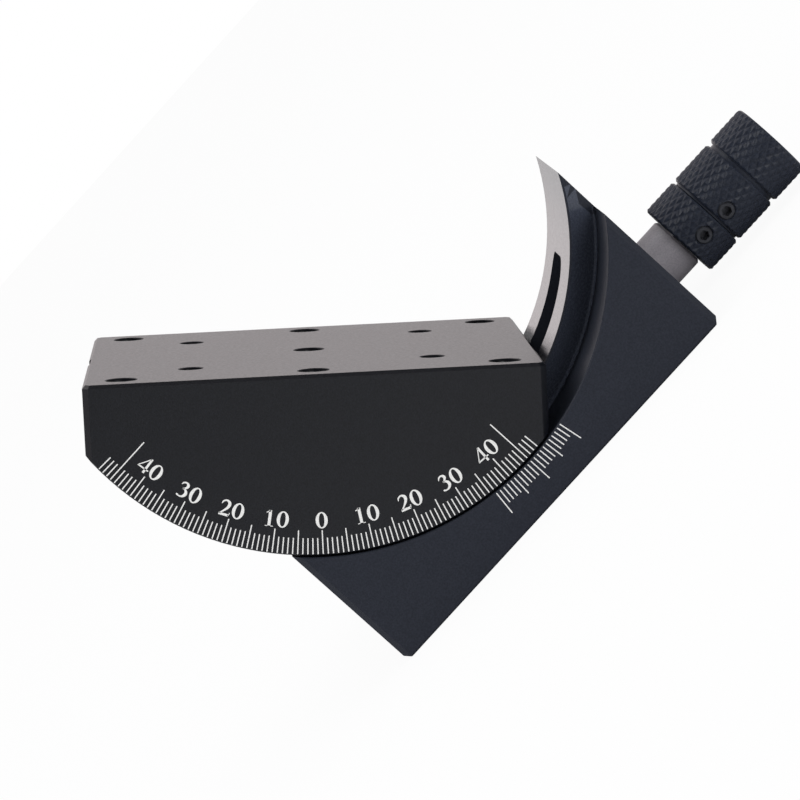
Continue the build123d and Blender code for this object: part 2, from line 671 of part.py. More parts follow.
BASE_PIECES = {
    "base_block": base_block,
    "stop_pin": stop_pin,
    "sleeve_bush": sleeve_bush,
    "sleeve_lock_screw": sleeve_lock_screw,
    "left_bush": left_bush,
    "end_plug": end_plug,
    "worm_shaft": worm_shaft,
    "worm": worm,
    "worm_set_screw": worm_set_screw,
    "spacer_tube": spacer_tube,
    "thrust_washers": thrust_washers,
    "preload_spring": preload_spring,
    "lock_ring": lock_ring,
    "lock_ring_screw": lambda: front_screw(RING_START + RING_SCREW_FROM_FACE),
    "knob": knob,
    "knob_screw": lambda: front_screw(BAND_START + KNOB_SCREW_FROM_NECK),
}
TABLE_PIECES = {
    "table": table,
    "worm_sector": worm_sector,
    "sector_screws": sector_screws,
    "gib": gib,
    "gib_screws": gib_screws,
}

os.makedirs("parts", exist_ok=True)
for name, make in BASE_PIECES.items():
    export_step(make(), f"parts/{name}.step")
for name, make in TABLE_PIECES.items():
    export_step(at_rest(make()), f"parts/{name}.step")
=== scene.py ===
import math

import bmesh
import bpy
import numpy as np
from mathutils import Euler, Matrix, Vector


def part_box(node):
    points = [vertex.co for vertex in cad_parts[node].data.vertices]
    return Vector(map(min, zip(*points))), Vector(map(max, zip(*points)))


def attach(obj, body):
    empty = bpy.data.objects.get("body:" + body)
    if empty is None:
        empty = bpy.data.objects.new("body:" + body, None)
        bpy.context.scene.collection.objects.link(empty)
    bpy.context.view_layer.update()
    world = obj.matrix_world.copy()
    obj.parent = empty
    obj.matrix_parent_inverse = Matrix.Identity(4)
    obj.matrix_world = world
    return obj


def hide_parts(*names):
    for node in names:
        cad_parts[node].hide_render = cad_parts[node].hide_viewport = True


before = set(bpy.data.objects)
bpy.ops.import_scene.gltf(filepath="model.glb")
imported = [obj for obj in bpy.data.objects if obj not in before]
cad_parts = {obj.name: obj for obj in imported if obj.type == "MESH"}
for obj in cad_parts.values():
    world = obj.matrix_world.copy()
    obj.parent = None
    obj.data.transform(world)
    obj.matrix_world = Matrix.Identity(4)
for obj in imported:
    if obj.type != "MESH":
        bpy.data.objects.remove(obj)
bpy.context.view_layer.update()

# Real sizes are in millimetres and angles in degrees. Everything is placed in the frame of the CAD model: the
# base stands on z = 0, its scale face looks towards -Y, and the knob is at +X.
MM = 0.001


# The camera. A long lens in front of the scale face, rolled so that the base stands on its left corner.
CAMERA_PLACE = (24.54, -547.32, 84.10)
CAMERA_ANGLES = (80.149, 47.569, -3.984)
CAMERA_LENS = 181.89

camera = bpy.data.objects.new("camera", bpy.data.cameras.new("camera"))
camera.data.lens = CAMERA_LENS
camera.location = [v * MM for v in CAMERA_PLACE]
camera.rotation_euler = Euler([math.radians(a) for a in CAMERA_ANGLES])
bpy.context.scene.collection.objects.link(camera)
bpy.context.scene.camera = camera
bpy.context.scene.view_settings.view_transform = "Standard"


# The studio. A white sweep behind and above the stage and a darker room on the camera's side. One large soft
# lamp hangs over the stage, a weak one stands low on the left, and a third one in front on the right lights
# the undercut flank. The pale floor lies just below the underside, and keeps the stage's soft shadow.
ROOM_SOFT_LIGHT = 0.75
ROOM_DARK_SIDE = 0.05
ROOM_BRIGHT_SIDE = 1.04
ROOM_REFLECTED = "#fff7f8"
FLOOR_SIZE = 6.0
FLOOR_Z = -0.00002
FLOOR_WHITE = 0.94
LAMPS = {
    "lamp_over": {"place": (-0.15, -0.10, 1.00), "size": 0.60, "watts": 3.0},
    "lamp_left": {"place": (-0.90, -0.55, 0.35), "size": 0.50, "watts": 1.0},
    "lamp_front": {"place": (0.50, -0.85, 0.12), "size": 0.40, "watts": 2.5},
}


def linear(hex_colour):
    """A colour written as sRGB hex, as the linear red, green, blue and alpha that a shader takes."""
    values = [int(hex_colour[k:k + 2], 16) / 255 for k in (1, 3, 5)]
    return [v / 12.92 if v <= 0.04045 else ((v + 0.055) / 1.055) ** 2.4 for v in values] + [1.0]


def add(tree, kind, inputs=None, **settings):
    """A node of that kind, with its settings, and its inputs set to values or linked from other sockets."""
    node = tree.nodes.new(kind)
    for name, value in settings.items():
        setattr(node, name, value)
    for name, value in (inputs or {}).items():
        if isinstance(value, bpy.types.NodeSocket):
            tree.links.new(value, node.inputs[name])
        else:
            node.inputs[name].default_value = value
    return node


def light_the_room():
    """World: white to the camera, bright at +Y and dark at -Y in reflections, one soft level elsewhere."""
    world = bpy.data.worlds.new("studio")
    world.use_nodes = True
    tree = world.node_tree
    tree.nodes.clear()
    rays = add(tree, "ShaderNodeLightPath").outputs
    direction = add(tree, "ShaderNodeTexCoord").outputs["Generated"]
    along_y = add(tree, "ShaderNodeSeparateXYZ", {"Vector": direction}).outputs["Y"]
    sweep = add(tree, "ShaderNodeMapRange", {
        "Value": along_y, "From Min": -0.35, "From Max": 0.55,
        "To Min": ROOM_DARK_SIDE, "To Max": ROOM_BRIGHT_SIDE,
    }, interpolation_type="SMOOTHSTEP").outputs["Result"]
    mirrored = add(tree, "ShaderNodeMix", {
        0: rays["Is Glossy Ray"], 2: ROOM_SOFT_LIGHT, 3: sweep,
    }).outputs[0]
    seen = add(tree, "ShaderNodeMath", {
        0: rays["Is Camera Ray"], 1: rays["Is Transmission Ray"],
    }, operation="MAXIMUM").outputs[0]
    strength = add(tree, "ShaderNodeMix", {0: seen, 2: mirrored, 3: 1.0}).outputs[0]
    tone = add(tree, "ShaderNodeMix", {
        0: rays["Is Glossy Ray"], 6: (1, 1, 1, 1), 7: linear(ROOM_REFLECTED),
    }, data_type="RGBA").outputs[2]
    background = add(tree, "ShaderNodeBackground", {"Color": tone, "Strength": strength})
    add(tree, "ShaderNodeOutputWorld", {"Surface": background.outputs[0]})
    bpy.context.scene.world = world


def hang_lamp(name, place, size, watts):
    """A square area lamp that points at the middle of the stage."""
    lamp = bpy.data.objects.new(name, bpy.data.lights.new(name, "AREA"))
    lamp.data.size = size
    lamp.data.energy = watts
    lamp.location = place
    aim = -lamp.location.normalized()
    lamp.rotation_euler = aim.to_track_quat("-Z", "Y").to_euler()
    bpy.context.scene.collection.objects.link(lamp)


def lay_floor():
    """A pale floor that shows white to the camera, less what the stage's shadow takes."""
    half = FLOOR_SIZE / 2
    mesh = bpy.data.meshes.new("floor")
    corners = [(-half, -half, FLOOR_Z), (half, -half, FLOOR_Z), (half, half, FLOOR_Z), (-half, half, FLOOR_Z)]
    mesh.from_pydata(corners, [], [(0, 1, 2, 3)])
    floor = bpy.data.objects.new("floor", mesh)
    material = bpy.data.materials.new("pale_floor")
    material.use_nodes = True
    tree = material.node_tree
    tree.nodes.clear()
    rays = add(tree, "ShaderNodeLightPath").outputs
    white = add(tree, "ShaderNodeMath", {0: rays["Is Camera Ray"], 1: FLOOR_WHITE}, operation="MULTIPLY")
    matt = add(tree, "ShaderNodeBsdfDiffuse", {"Color": linear("#e6e6e8")})
    glow = add(tree, "ShaderNodeEmission", {"Color": (1, 1, 1, 1), "Strength": 1.0})
    both = add(tree, "ShaderNodeMixShader", {0: white.outputs[0], 1: matt.outputs[0], 2: glow.outputs[0]})
    add(tree, "ShaderNodeOutputMaterial", {"Surface": both.outputs[0]})
    mesh.materials.append(material)
    bpy.context.scene.collection.objects.link(floor)


light_the_room()
for lamp_name, lamp_values in LAMPS.items():
    hang_lamp(lamp_name, **lamp_values)
lay_floor()


# Finishes. All patterns are in real millimetres, read from Object coordinates, since every object stands at the
# origin of the frame. Fine grain is what blasting leaves under the anodised layer.
def finish_tree(name):
    """A new material, its tree, and its Object coordinates in millimetres."""
    material = bpy.data.materials.new(name)
    material.use_nodes = True
    tree = material.node_tree
    tree.nodes.clear()
    metres = add(tree, "ShaderNodeTexCoord").outputs["Object"]
    place = add(tree, "ShaderNodeVectorMath", {0: metres, 3: 1 / MM}, operation="SCALE").outputs["Vector"]
    return material, tree, place


def tinted(tree, place, grain, dark, light, spread=0.35):
    """A colour that wanders between two hex values with a noise whose grains are that many mm wide."""
    noise = add(tree, "ShaderNodeTexNoise", {"Vector": place, "Scale": 1 / grain, "Detail": 3.0})
    ramp = add(tree, "ShaderNodeValToRGB", {"Fac": noise.outputs["Fac"]})
    ramp.color_ramp.elements[0].position = 0.5 - spread / 2
    ramp.color_ramp.elements[0].color = linear(dark)
    ramp.color_ramp.elements[1].position = 0.5 + spread / 2
    ramp.color_ramp.elements[1].color = linear(light)
    return ramp.outputs["Color"]


def varied(tree, place, grain, low, high):
    """A number that wanders between two values with a noise whose grains are that many mm wide."""
    noise = add(tree, "ShaderNodeTexNoise", {"Vector": place, "Scale": 1 / grain, "Detail": 2.0})
    return add(tree, "ShaderNodeMapRange", {
        "Value": noise.outputs["Fac"], "From Min": 0.3, "From Max": 0.7, "To Min": low, "To Max": high,
    }).outputs["Result"]


def grained(tree, place, grain, height, strength=1.0):
    """A bump of fine grain, its width and height in mm."""
    noise = add(tree, "ShaderNodeTexNoise", {"Vector": place, "Scale": 1 / grain, "Detail": 2.0})
    return add(tree, "ShaderNodeBump", {
        "Height": noise.outputs["Fac"], "Distance": height * MM, "Strength": strength,
    }).outputs["Normal"]


def anodised(name, dark, light, roughness, specular, grain_height):
    """Black anodised aluminium: a dyed oxide layer, so no metal shows, with the blasted grain under it."""
    material, tree, place = finish_tree(name)
    shader = add(tree, "ShaderNodeBsdfPrincipled", {
        "Base Color": tinted(tree, place, 0.22, dark, light),
        "Roughness": varied(tree, place, 0.4, roughness[0], roughness[1]),
        "Specular IOR Level": specular,
        "Normal": grained(tree, place, 0.18, grain_height),
    })
    add(tree, "ShaderNodeOutputMaterial", {"Surface": shader.outputs[0]})
    return material


def turned_metal(name, dark, light, roughness, pitch, height):
    """Bare metal turned on a lathe about the worm axis: fine rings that follow x, pitch and height in mm."""
    material, tree, place = finish_tree(name)
    along_x = add(tree, "ShaderNodeSeparateXYZ", {"Vector": place}).outputs["X"]
    lines = add(tree, "ShaderNodeTexNoise", {
        "W": along_x, "Scale": 1 / pitch, "Detail": 3.0,
    }, noise_dimensions="1D")
    rings = add(tree, "ShaderNodeBump", {
        "Height": lines.outputs["Fac"], "Distance": height * MM, "Strength": 0.6,
    })
    shader = add(tree, "ShaderNodeBsdfPrincipled", {
        "Base Color": tinted(tree, place, 0.6, dark, light),
        "Metallic": 1.0,
        "Roughness": varied(tree, place, 2.0, roughness[0], roughness[1]),
        "Anisotropic": 0.4,
        "Normal": rings.outputs["Normal"],
    })
    add(tree, "ShaderNodeOutputMaterial", {"Surface": shader.outputs[0]})
    return material


def plain_metal(name, dark, light, roughness, metallic=1.0):
    """Bare or oxide-coated metal with a fine ground grain."""
    material, tree, place = finish_tree(name)
    shader = add(tree, "ShaderNodeBsdfPrincipled", {
        "Base Color": tinted(tree, place, 1.5, dark, light),
        "Metallic": metallic,
        "Roughness": varied(tree, place, 1.2, roughness[0], roughness[1]),
        "Normal": grained(tree, place, 0.25, 0.004, 0.4),
    })
    add(tree, "ShaderNodeOutputMaterial", {"Surface": shader.outputs[0]})
    return material


def fill_paint(name, dark, light):
    """White paint wiped into the engraved lines: matt, a little uneven."""
    material, tree, place = finish_tree(name)
    shader = add(tree, "ShaderNodeBsdfPrincipled", {
        "Base Color": tinted(tree, place, 0.25, dark, light, 0.6),
        "Roughness": varied(tree, place, 0.5, 0.55, 0.75),
        "Normal": grained(tree, place, 0.08, 0.006, 0.5),
    })
    add(tree, "ShaderNodeOutputMaterial", {"Surface": shader.outputs[0]})
    return material


# The table's black is neutral and the base's a shade bluer, as two lots of parts come out of the dye.
BLACK_TABLE = anodised("black_anodised_neutral", "#0b0d12", "#13151b", (0.30, 0.36), 0.34, 0.012)
BLACK_BASE = anodised("black_anodised_bluish", "#24272f", "#2b2e37", (0.34, 0.40), 0.12, 0.006)
BLACK_GUIDE = anodised("black_anodised_on_rib_top", "#1c1c22", "#25262c", (0.16, 0.22), 0.54, 0.004)
# The flanks' lighter grey is painted light: it stands in for light that the undercut flanks do not get.
FLANK_PAINTED_LIGHTER = anodised("black_anodised_flank_painted_lighter", "#3d424e", "#474c59", (0.24, 0.30), 0.30, 0.002)
BLACK_KNOB = anodised("black_anodised_knurled", "#1e222c", "#2a2f3b", (0.32, 0.40), 0.20, 0.003)
GREY_SLEEVE = anodised("sleeve_clear_anodised", "#89858b", "#98949a", (0.42, 0.50), 0.5, 0.003)
STEEL = turned_metal("steel_ground", "#8f9093", "#a5a6a9", (0.22, 0.32), 0.15, 0.003)
SPRING_STEEL = plain_metal("steel_spring", "#6f7074", "#8b8c90", (0.25, 0.35))
BRONZE = plain_metal("bronze_machined", "#967a4c", "#9d8152", (0.34, 0.38))
BLACK_OXIDE = plain_metal("steel_black_oxide", "#2a2b30", "#383a40", (0.30, 0.40), 0.4)
WHITE_PAINT = fill_paint("white_fill_paint", "#d6d6d4", "#f2f2f0")


# Pieces carried over from the frame. The big ones are copied, their loose triangles joined and their round faces
# shaded smooth up to the real edges, so that a long reflection runs over an arc without steps.
SMOOTH_BELOW = math.radians(24)
JOIN_WITHIN = 1e-6
FLAT_WITHIN = math.radians(0.2)
EDGED = ("base_block", "table")
EDGE_WIDTH = 0.08
AXIS_HEIGHT = 44.7
SHOULDER_R = 38.6
RIB_TOP_R = 34.65
RIB_HALF_WIDTH = 18.0
RIB_FOOT_HALF = 13.5
END_FACE_X = 29.15
TOP_SPAN = 0.5
TOP_SLACK = 0.1
SHOULDER_SLACK = 0.02
SIDE_SLACK = 0.05
HALF_WIDTH = 30.0
COPIED = {
    "base_block": (BLACK_BASE, "base", "black_anodised"),
    "table": (BLACK_TABLE, "table", "black_anodised"),
    "sleeve_bush": (GREY_SLEEVE, "base", "grey_sleeve"),
    "end_plug": (BLACK_BASE, "base", "black_anodised"),
    "gib": (BRONZE, "table", "bronze"),
    "worm_sector": (BRONZE, "table", "bronze"),
    "worm": (STEEL, "worm_drive", "steel"),
    "worm_shaft": (STEEL, "worm_drive", "steel"),
    "spacer_tube": (STEEL, "worm_drive", "steel"),
    "thrust_washers": (STEEL, "worm_drive", "steel"),
    "preload_spring": (SPRING_STEEL, "worm_drive", "steel"),
    "left_bush": (BRONZE, "base", "bronze"),
    "stop_pin": (STEEL, "base", "steel"),
    "sector_screws": (BLACK_OXIDE, "table", "black_oxide"),
    "gib_screws": (BLACK_OXIDE, "table", "black_oxide"),
    "sleeve_lock_screw": (BLACK_OXIDE, "base", "black_oxide"),
    "worm_set_screw": (BLACK_OXIDE, "worm_drive", "black_oxide"),
    "lock_ring_screw": (BLACK_OXIDE, "worm_drive", "black_oxide"),
    "knob_screw": (BLACK_OXIDE, "worm_drive", "black_oxide"),
}


def put(name, mesh, material, body):
    """A finished mesh as a piece of the object: shaded, with its material and body."""
    mesh.polygons.foreach_set("use_smooth", np.ones(len(mesh.polygons), bool))
    mesh.set_sharp_from_angle(angle=SMOOTH_BELOW)
    mesh.materials.clear()
    mesh.materials.append(material)
    piece = bpy.data.objects.new(name, mesh)
    bpy.context.scene.collection.objects.link(piece)
    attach(piece, body)
    return piece


def joined_copy(node):
    """The mesh of a CAD node with its triangles joined at their corners."""
    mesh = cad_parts[node].data.copy()
    if "custom_normal" in mesh.attributes:
        mesh.attributes.remove(mesh.attributes["custom_normal"])
    shell = bmesh.new()
    shell.from_mesh(mesh)
    bmesh.ops.remove_doubles(shell, verts=shell.verts, dist=JOIN_WITHIN)
    if node in EDGED:
        bmesh.ops.dissolve_limit(shell, angle_limit=FLAT_WITHIN, verts=shell.verts, edges=shell.edges)
    shell.to_mesh(mesh)
    shell.free()
    return mesh


def finish_guide(mesh):
    """Gives the rib its finishes by radius from the tilt axis: smoother on its top, and a painted lighter grey on
    its flanks.

    The flanks' grey is painted light, set to match their brightness in the photograph: it stands in for the light
    that the undercut flanks, which face the shoulder, do not get.
    """
    centres = np.empty(3 * len(mesh.polygons))
    mesh.polygons.foreach_get("center", centres)
    x, y, z = centres.reshape(-1, 3).T / MM
    from_axis = np.hypot(x, z - AXIS_HEIGHT)
    off_middle = np.abs(y)
    at_top = (from_axis > RIB_TOP_R - TOP_SPAN) & (from_axis < RIB_TOP_R + TOP_SLACK)
    on_guide = at_top & (off_middle < RIB_HALF_WIDTH)
    below_top = (from_axis >= RIB_TOP_R + TOP_SLACK) & (from_axis < SHOULDER_R - SHOULDER_SLACK)
    beside = (off_middle > RIB_FOOT_HALF) & (off_middle < RIB_HALF_WIDTH + SIDE_SLACK)
    # The flanks and their root fillet get the painted lighter grey, painted light in place of light that does not
    # reach them.
    flank_painted_lighter = below_top & beside & (np.abs(x) < END_FACE_X)
    mesh.materials.append(BLACK_GUIDE)
    mesh.materials.append(FLANK_PAINTED_LIGHTER)
    mesh.polygons.foreach_set("material_index", (on_guide + 2 * flank_painted_lighter).astype(np.int32))


for node, (material, body, slot_name) in COPIED.items():
    piece = put(f"{node}_finished", joined_copy(node), material, body)
    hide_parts(node)
    if node == "base_block":
        finish_guide(piece.data)
    if node in EDGED:
        edge = piece.modifiers.new("edge", "BEVEL")
        edge.width = EDGE_WIDTH * MM
        edge.segments = 2
        edge.limit_method = "ANGLE"
        edge.angle_limit = SMOOTH_BELOW
        edge.harden_normals = True


# The knurled ring and the knob. Aluminium bars with a diamond knurl rolled into each grip band: two hands of
# V grooves at 30 degrees to the axis leave rows of small pyramids, which the chamfers cut down at the ends.
KNOB_R = 6.0
NECK_R = 5.4
BAND_CHAMFER = 0.3
BORE_R = 2.01
KNURL_GROOVES = 33
KNURL_SLANT = 30.0
KNURL_DEPTH = 0.17
KNURL_LAND = 0.15
STEPS_PER_GROOVE = 12
SCREW_HOLE_R = 1.26
SCREW_MOUTH_R = 1.42
SCREW_TURN = 13.0
WORM_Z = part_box("worm_shaft")[0][2] / MM + 2.0
RING_X = [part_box("lock_ring")[k][0] / MM for k in (0, 1)]
KNOB_X = [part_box("knob")[k][0] / MM for k in (0, 1)]
INNER_BAND = (KNOB_X[0] + 0.3, KNOB_X[0] + 6.8)
OUTER_BAND = (KNOB_X[0] + 7.4, KNOB_X[1])
BORE_END = 50.85


def lathe_mesh(name, x, radius):
    """A closed surface about the worm axis, from grids of x and radius with a row for each ring of points.

    A point stands at (x, -r sin a, WORM_Z + r cos a), with a going once round along each row.
    """
    rows, columns = radius.shape
    a = np.arange(columns) / columns * 2 * np.pi
    points = np.stack([x, -radius * np.sin(a), WORM_Z + radius * np.cos(a)], axis=-1).reshape(-1, 3) * MM
    r, c = np.meshgrid(np.arange(rows), np.arange(columns), indexing="ij")
    nxt = (c + 1) % columns
    below = (r + 1) % rows
    upper = r * columns
    lower = below * columns
    quads = np.stack([upper + c, upper + nxt, lower + nxt, lower + c], axis=-1)
    mesh = bpy.data.meshes.new(name)
    mesh.from_pydata(points, [], quads.reshape(-1, 4).tolist())
    return mesh


def knurl_radius(x, a):
    """R - depth * groove, where the groove is the nearer of two V grooves, one of each hand, less a flat land.

    Groove number u = N a / 2 pi +- x / lead, and a V is 1 at whole u and 0 half way between.
    """
    lead = 2 * math.pi * KNOB_R / KNURL_GROOVES / math.tan(math.radians(KNURL_SLANT))
    around = KNURL_GROOVES * a / (2 * np.pi)
    grooves = []
    for hand in (-1, 1):
        u = around + hand * x / lead
        grooves.append(1 - 2 * np.abs(u - np.round(u)))
    deepest = np.maximum(grooves[0], grooves[1])
    return KNOB_R - KNURL_DEPTH * np.clip((deepest - KNURL_LAND) / (1 - KNURL_LAND), 0, 1)


def grip_profile(bands, start, end, bore_end):
    """Rows of (x, radius or None): plain rings where a radius is given, knurled ones where it is None."""
    lead = 2 * math.pi * KNOB_R / KNURL_GROOVES / math.tan(math.radians(KNURL_SLANT))
    step = lead / (2 * STEPS_PER_GROOVE)
    full = KNOB_R - BAND_CHAMFER
    rows = [(start, BORE_R)]
    if bands[0][0] > start:
        rows += [(start, NECK_R), (bands[0][0], NECK_R)]
    for k, (low, high) in enumerate(bands):
        inner = np.arange(math.ceil(low / step), math.floor(high / step) + 1) * step
        rows += [(low, full)] + [(x, None) for x in inner if low < x < high] + [(high, full)]
        if k + 1 < len(bands):
            rows += [(high, NECK_R), (bands[k + 1][0], NECK_R)]
    if bore_end < end:
        rows += [(end, 0.02), (bore_end, 0.02)]
        rows += [(bore_end, BORE_R)]
    else:
        rows += [(end, BORE_R)]
    return rows


def grip_mesh(name, bands, start, end, bore_end):
    """The whole ring or knob: the profile's rows, knurled in its bands and cut by the chamfers."""
    rows = grip_profile(bands, start, end, bore_end)
    columns = KNURL_GROOVES * STEPS_PER_GROOVE
    a = np.arange(columns) / columns * 2 * np.pi
    x = np.array([row[0] for row in rows])[:, None] * np.ones(columns)
    radius = knurl_radius(x, a)
    for low, high in bands:
        from_end = np.minimum(x - low, high - x)
        inside = from_end >= 0
        radius = np.where(inside, np.minimum(radius, KNOB_R - BAND_CHAMFER + from_end), radius)
    plain = [k for k, row in enumerate(rows) if row[1] is not None]
    radius[plain] = np.array([rows[k][1] for k in plain])[:, None]
    return lathe_mesh(name, x, radius)


def screw_hole_cutter(x):
    """A drill with a chamfering shoulder, standing square to the worm axis at the knob's own turn."""
    tool = bmesh.new()
    profile = [(0.0, BORE_R - 1.0), (SCREW_HOLE_R, BORE_R - 1.0), (SCREW_HOLE_R, KNOB_R - 0.28),
               (SCREW_MOUTH_R, KNOB_R - 0.06), (SCREW_MOUTH_R, KNOB_R + 1.0), (0.0, KNOB_R + 1.0)]
    turns = np.arange(48) / 48 * 2 * np.pi
    down = np.array([0, -math.cos(math.radians(SCREW_TURN)), -math.sin(math.radians(SCREW_TURN))])
    side = np.cross(down, [1, 0, 0])
    rings = []
    for r, height in profile:
        ring = np.outer(np.cos(turns) * max(r, 0.01), [1, 0, 0]) + np.outer(np.sin(turns) * max(r, 0.01), side)
        rings.append([tool.verts.new(p) for p in (ring + down * height + [x, 0, WORM_Z]) * MM])
    for lower, upper in zip(rings[:-1], rings[1:]):
        for k in range(48):
            tool.faces.new([lower[k], lower[(k + 1) % 48], upper[(k + 1) % 48], upper[k]])
    tool.faces.new(rings[0][::-1])
    tool.faces.new(rings[-1])
    bmesh.ops.recalc_face_normals(tool, faces=tool.faces)
    mesh = bpy.data.meshes.new("screw_hole_cutter")
    tool.to_mesh(mesh)
    tool.free()
    return bpy.data.objects.new("screw_hole_cutter", mesh)


def drilled(mesh, x):
    """The mesh with the set screw's hole cut through its wall."""
    bar = bpy.data.objects.new("bar", mesh)
    cutter = screw_hole_cutter(x)
    for thing in (bar, cutter):
        bpy.context.scene.collection.objects.link(thing)
    cut = bar.modifiers.new("hole", "BOOLEAN")
    cut.object = cutter
    cut.solver = "EXACT"
    graph = bpy.context.evaluated_depsgraph_get()
    result = bpy.data.meshes.new_from_object(bar.evaluated_get(graph))
    for thing in (bar, cutter):
        bpy.data.objects.remove(thing)
    return result


ring_mesh = grip_mesh("lock_ring", [tuple(RING_X)], RING_X[0], RING_X[1], RING_X[1])
knob_mesh = grip_mesh("knob", [INNER_BAND, OUTER_BAND], KNOB_X[0], KNOB_X[1], BORE_END)
for node, mesh in (("lock_ring", ring_mesh), ("knob", knob_mesh)):
    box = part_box(f"{node}_screw")
    grip = put(f"{node}_knurled", drilled(mesh, (box[0][0] + box[1][0]) / 2 / MM), BLACK_KNOB,
               "worm_drive")
    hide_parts(node)


# The angle scale. Lines engraved and filled with white on the table's front face, one for each degree, radial to
# the tilt axis, longer at each 5 degrees and longest at the ends of the travel.
FACE_Y = -HALF_WIDTH
REST_TILT = 45.0
PAINT_PROUD = 0.006
LINE_WIDTH = 0.15
TABLE_ARC_R = 38.13
TICK_LENGTHS = {"degree": 2.1, "five": 3.1, "end": 6.5}
LAST_TICK = 48
END_TICK = 45


def engraved(name, outlines, body):
    """Thin plates of paint on the scale face from closed outlines of (x, z) points in mm."""
    verts, faces = [], []
    for outline in outlines:
        points = np.asarray(outline, float)
        area = np.sum(points[:, 0] * np.roll(points[:, 1], -1) - points[:, 1] * np.roll(points[:, 0], -1))
        if area < 0:
            points = points[::-1]
        n, first = len(points), len(verts)
        for y in (FACE_Y - PAINT_PROUD, FACE_Y + PAINT_PROUD):
            verts += [(x * MM, y * MM, z * MM) for x, z in points]
        faces.append(list(range(first, first + n)))
        faces.append([first + n + k for k in reversed(range(n))])
        faces += [[first + k, first + n + k, first + n + (k + 1) % n, first + (k + 1) % n] for k in range(n)]
    mesh = bpy.data.meshes.new(name)
    mesh.from_pydata(verts, [], faces)
    return put(name, mesh, WHITE_PAINT, body)


def radial(radius, angle, side=0.0):
    """(x, z) of a point at a radius and an angle from straight below the tilt axis, moved sideways by side."""
    a = math.radians(angle)
    x = radius * math.sin(a) + side * math.cos(a)
    z = AXIS_HEIGHT - radius * math.cos(a) + side * math.sin(a)
    return (x, z)


def line(angle, inner, outer):
    """The outline of one radial line."""
    half = LINE_WIDTH / 2
    return [radial(inner, angle, -half), radial(outer, angle, -half),
            radial(outer, angle, half), radial(inner, angle, half)]


def tick_length(degree):
    """How long the table's line at that degree is."""
    if abs(degree) == END_TICK:
        return TICK_LENGTHS["end"]
    return TICK_LENGTHS["five" if degree % 5 == 0 else "degree"]


# A table angle a stands at a - 45 below the tilt axis, because the stage rests at the end of its travel.
ticks = [
    line(k - REST_TILT, TABLE_ARC_R - tick_length(k), TABLE_ARC_R)
    for k in range(-LAST_TICK, LAST_TICK + 1)
]
engraved("table_scale_lines", ticks, "table")


# The double vernier on the base: ten divisions of 0.9 degree each way from its zero line.
VERNIER_STEP = 0.9
VERNIER_INNER_R = 38.78
VERNIER_OUTER_R = {"plain": 40.8, "half": 41.55, "end": 42.1}


def vernier_reach(k):
    """The outer radius of the vernier's line k."""
    return VERNIER_OUTER_R["end" if k % 10 == 0 else "half" if k % 5 == 0 else "plain"]


vernier = [line(k * VERNIER_STEP, VERNIER_INNER_R, vernier_reach(k)) for k in range(-10, 11)]
engraved("base_vernier_lines", vernier, "base")


# The numbers 0 to 40 each way, in bold serif figures that stand radially above the ten-degree lines. A figure is
# a few pen strokes, each with its middle line and its width in heights of the figure.
FIGURE_HEIGHT = 2.15
FIGURE_PITCH = 1.70
FIGURE_R = 33.72
STROKE_STEPS = 9
ROUND = [(0.265 * math.sin(t), 0.5 + 0.462 * math.cos(t), 0.075 + 0.125 * math.sin(t) ** 2)
         for t in np.linspace(0, 2 * math.pi, 17)]
FIGURES = {
    "0": [ROUND],
    "1": [
        [(0.0, 0.0, 0.18), (0.0, 0.5, 0.18), (0.0, 0.98, 0.18)],
        [(-0.23, 0.83, 0.05), (-0.10, 0.88, 0.07), (0.03, 0.955, 0.09)],
        [(-0.24, 0.022, 0.044), (0.24, 0.022, 0.044)],
    ],
    "2": [
        [(-0.27, 0.70, 0.04), (-0.21, 0.86, 0.09), (-0.03, 0.95, 0.10), (0.15, 0.86, 0.17), (0.19, 0.70, 0.19),
         (0.11, 0.50, 0.15), (-0.07, 0.29, 0.10), (-0.27, 0.10, 0.07)],
        [(-0.31, 0.075, 0.15), (0.28, 0.075, 0.15)],
        [(0.25, 0.04, 0.08), (0.31, 0.15, 0.05), (0.33, 0.26, 0.03)],
    ],
    "3": [
        [(-0.25, 0.76, 0.04), (-0.17, 0.89, 0.09), (-0.01, 0.95, 0.10), (0.13, 0.87, 0.16), (0.15, 0.74, 0.17),
         (0.05, 0.61, 0.10), (-0.10, 0.56, 0.06)],
        [(-0.10, 0.56, 0.06), (0.07, 0.53, 0.11), (0.19, 0.41, 0.17), (0.20, 0.25, 0.19), (0.08, 0.09, 0.13),
         (-0.11, 0.04, 0.08), (-0.25, 0.08, 0.11), (-0.30, 0.13, 0.05)],
    ],
    "4": [
        [(0.15, 0.0, 0.14), (0.15, 0.5, 0.14), (0.15, 1.0, 0.14)],
        [(0.12, 0.97, 0.07), (-0.13, 0.60, 0.06), (-0.36, 0.27, 0.06)],
        [(-0.39, 0.26, 0.09), (0.36, 0.26, 0.09)],
    ],
}


